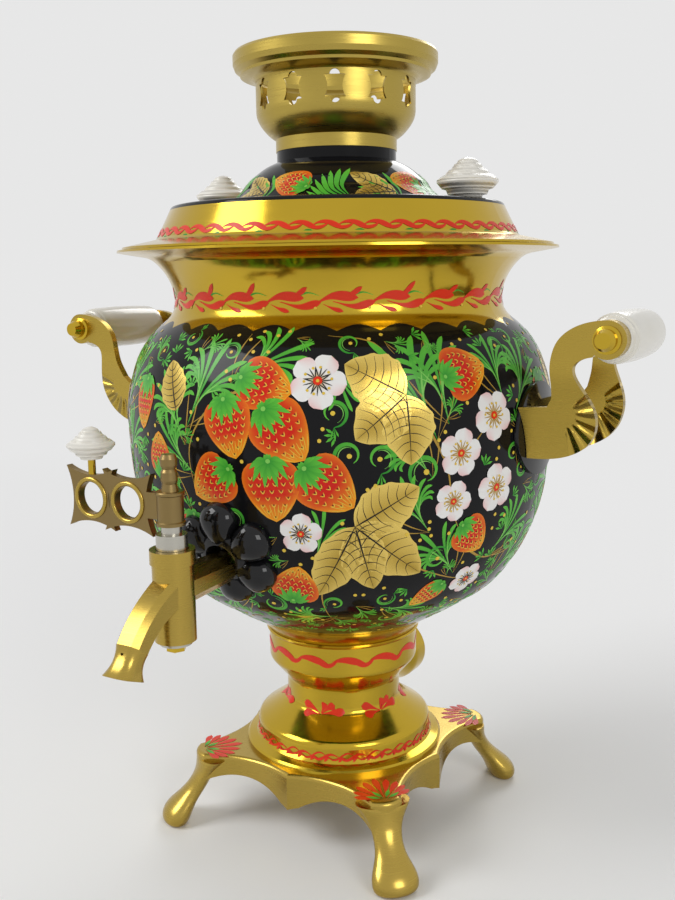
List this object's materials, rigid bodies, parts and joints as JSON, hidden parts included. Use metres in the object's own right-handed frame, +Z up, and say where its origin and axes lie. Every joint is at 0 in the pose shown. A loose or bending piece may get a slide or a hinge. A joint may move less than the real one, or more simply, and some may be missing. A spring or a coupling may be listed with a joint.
{
  "type": "samovar",
  "caption": "Electric samovar: black painted brass vessel on a turned pedestal and footed base, plug tap with pierced key, handles, lift-off lid and pierced teapot crown.",
  "frame": {"origin": "centre of the four feet's soles, on the table under the vessel's axis", "axes": "+Z up along the vessel's axis, -Y towards the tap, +Y towards the mains inlet, handles at +X and -X"},
  "size_m": [0.2932, 0.2639, 0.36],
  "materials": {
    "polished_brass": "polished and lacquered, golden",
    "black_lacquer": "black gloss lacquer with painted flowers and berries",
    "satin_brass": "satin, with fine turning marks",
    "dark_brass": "as cast, darkened",
    "nickelled": "plain turned metal",
    "ivory": "glossy ivory",
    "steel": "zinc-plated",
    "rubber": "matte",
    "insulation": "matte sleeving",
    "block": "moulded, matte",
    "pins": "plated contact pins"
  },
  "bodies": {
    "vessel_and_base": {"base": "polished_brass", "bead_ring": "polished_brass", "body_shell": "black_lacquer", "clamp_nut": "steel", "clamp_plate": "steel", "clamp_stud": "steel", "dome_nuts_left": "polished_brass", "dome_nuts_right": "polished_brass", "flange_nuts": "steel", "flange_screws": "steel", "grip_left": "ivory", "grip_right": "ivory", "grip_rod_left": "steel", "grip_rod_right": "steel", "handle_arm_left_front": "polished_brass", "handle_arm_left_rear": "polished_brass", "handle_arm_right_front": "polished_brass", "handle_arm_right_rear": "polished_brass", "handle_plate_left": "black_lacquer", "handle_plate_right": "black_lacquer", "handle_screws_left": "steel", "handle_screws_right": "steel", "handle_washers_left": "rubber", "handle_washers_right": "rubber", "heater_flange": "steel", "heater_gasket": "rubber", "heater_pins": "steel", "heater_tube": "steel", "inlet_block": "block", "inlet_pins": "pins", "inlet_shroud": "polished_brass", "lead_live": "insulation", "lead_neutral": "insulation", "pedestal": "polished_brass", "tap_body": "polished_brass", "tap_gasket": "rubber", "tap_nut": "steel", "tap_rosette": "black_lacquer"},
    "lid_assembly": {"lid": "black_lacquer", "lid_skirt": "polished_brass", "crown": "satin_brass", "lid_knob_left": "ivory", "lid_knob_right": "ivory", "lid_knob_screws": "steel"},
    "key_assembly": {"tap_plug": "nickelled", "plug_washer": "nickelled", "plug_nut": "polished_brass", "tap_key": "dark_brass", "key_knob_post": "polished_brass", "key_knob": "ivory"}
  },
  "joints": [
    {"name": "lid_lift", "type": "slide", "parent": "vessel_and_base", "child": "lid_assembly", "axis": [0, 0, 1], "range_m": [0, 0.06]},
    {"name": "tap_turn", "type": "hinge", "parent": "vessel_and_base", "child": "key_assembly", "pos_m": [0, -0.1264, 0.145], "axis": [0, 0, 1], "range_deg": [-15, 195]}
  ]
}
